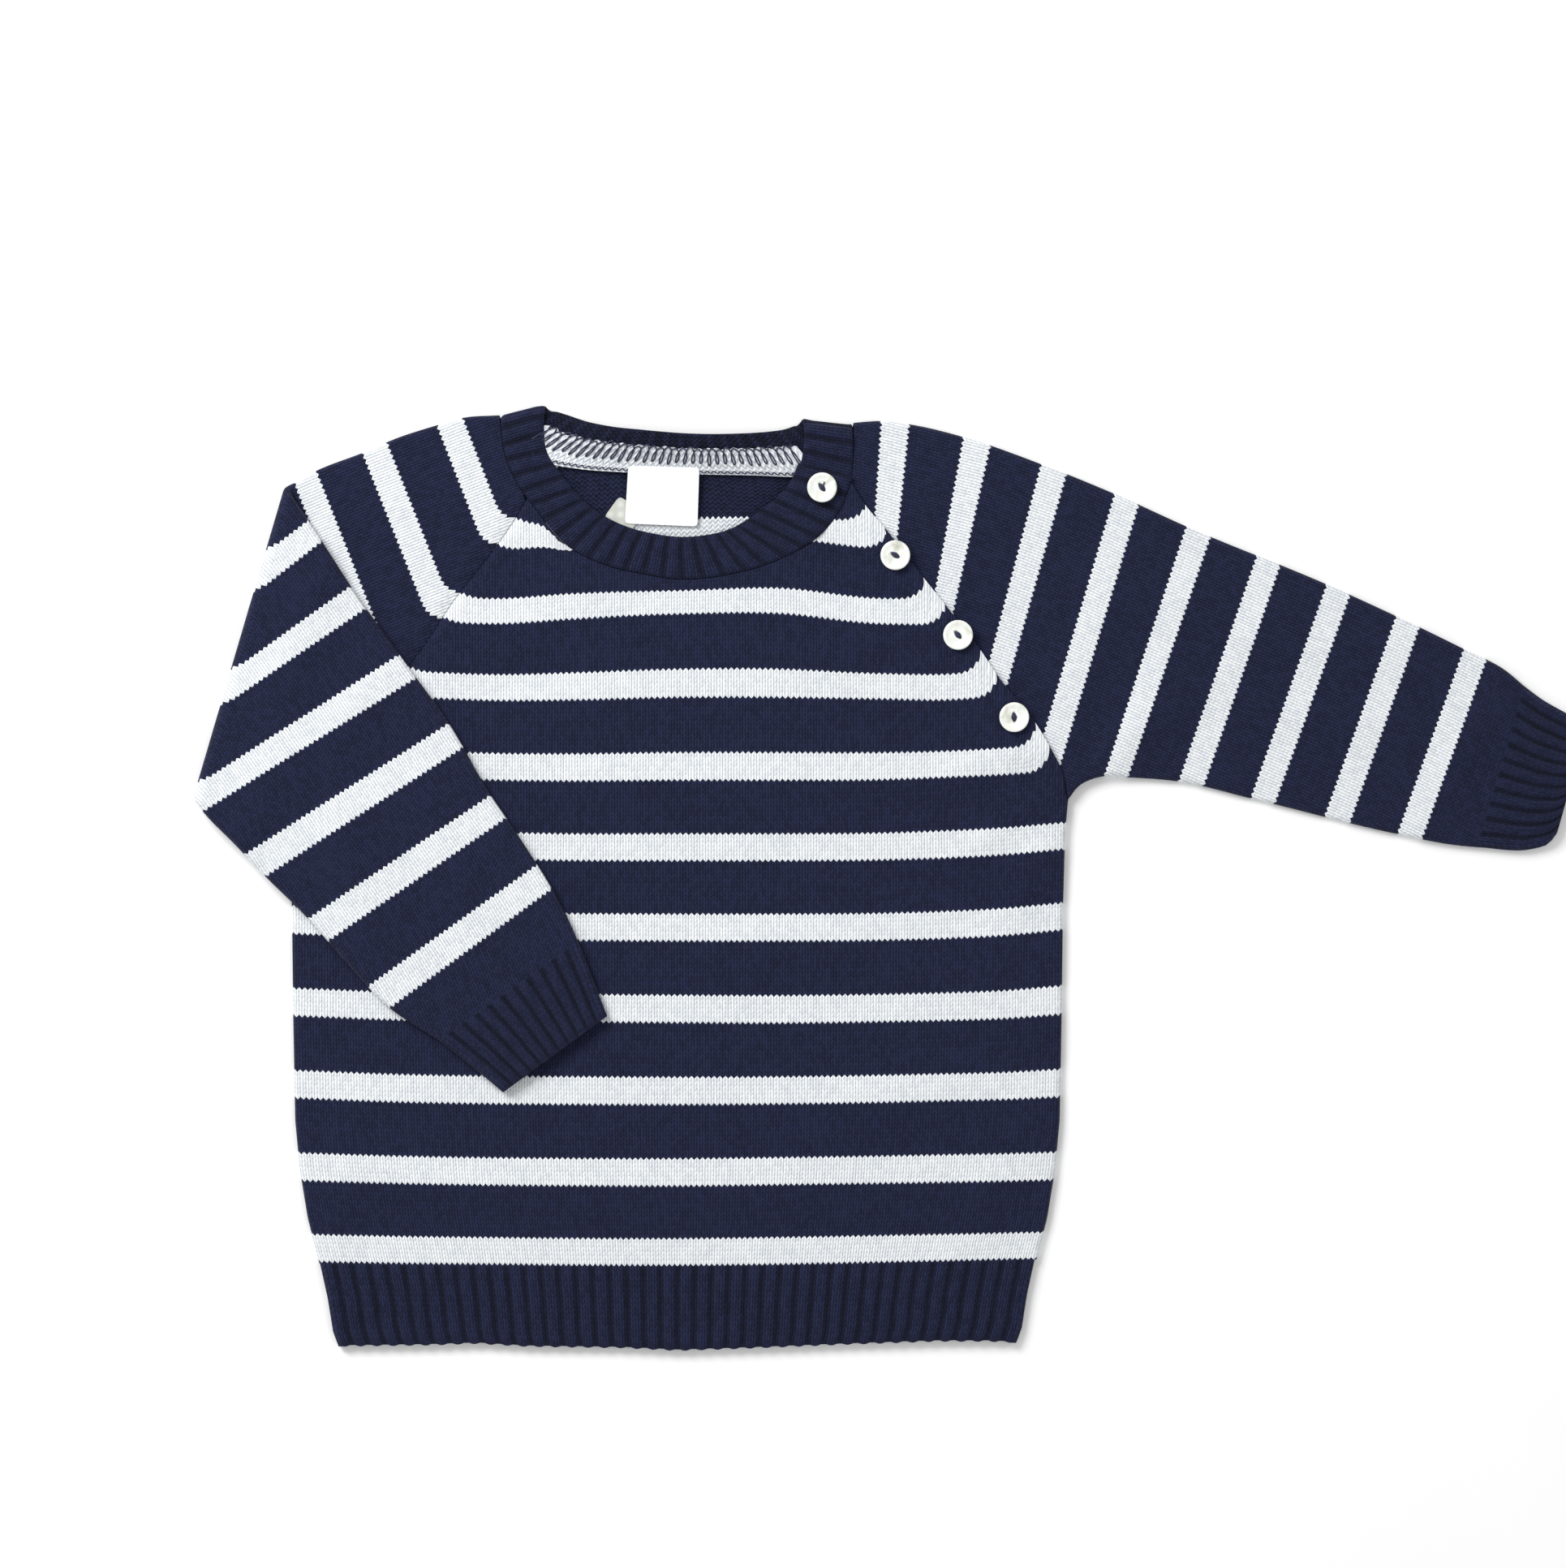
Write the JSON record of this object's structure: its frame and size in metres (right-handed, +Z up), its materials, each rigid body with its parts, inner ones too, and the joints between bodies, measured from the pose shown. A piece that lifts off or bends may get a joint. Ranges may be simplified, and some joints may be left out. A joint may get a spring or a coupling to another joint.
{
  "type": "breton sweater",
  "caption": "Child's navy and white striped knitted raglan sweater laid flat, a sleeve folded over the front, with a ribbed neck, hem and cuffs and a buttoned shoulder.",
  "frame": {"origin": "on the surface the garment lies on, at the middle of its box in plan", "axes": "+X towards the cuff of the stretched sleeve, +Y from the hem to the neck, +Z up from the back of the garment through its front"},
  "size_m": [0.5142, 0.3492, 0.0093],
  "materials": {
    "striped_knit": "fine plain knit in matt combed cotton, navy with white stripes",
    "navy_rib": "two by one rib in the same matt navy cotton",
    "shell_button": "polished mother of pearl, cream with soft bands of light",
    "label_tape": "smooth white woven tape, bare"
  },
  "bodies": {
    "root": {"front_panel": "striped_knit", "back_panel": "striped_knit", "left_sleeve": "striped_knit", "right_sleeve": "striped_knit", "front_hem_rib": "navy_rib", "back_hem_rib": "navy_rib", "left_cuff": "navy_rib", "right_cuff": "navy_rib", "neckband": "navy_rib", "button_1": "shell_button", "button_2": "shell_button", "button_3": "shell_button", "button_4": "shell_button", "neck_label": "label_tape", "care_label": "label_tape"}
  },
  "joints": []
}
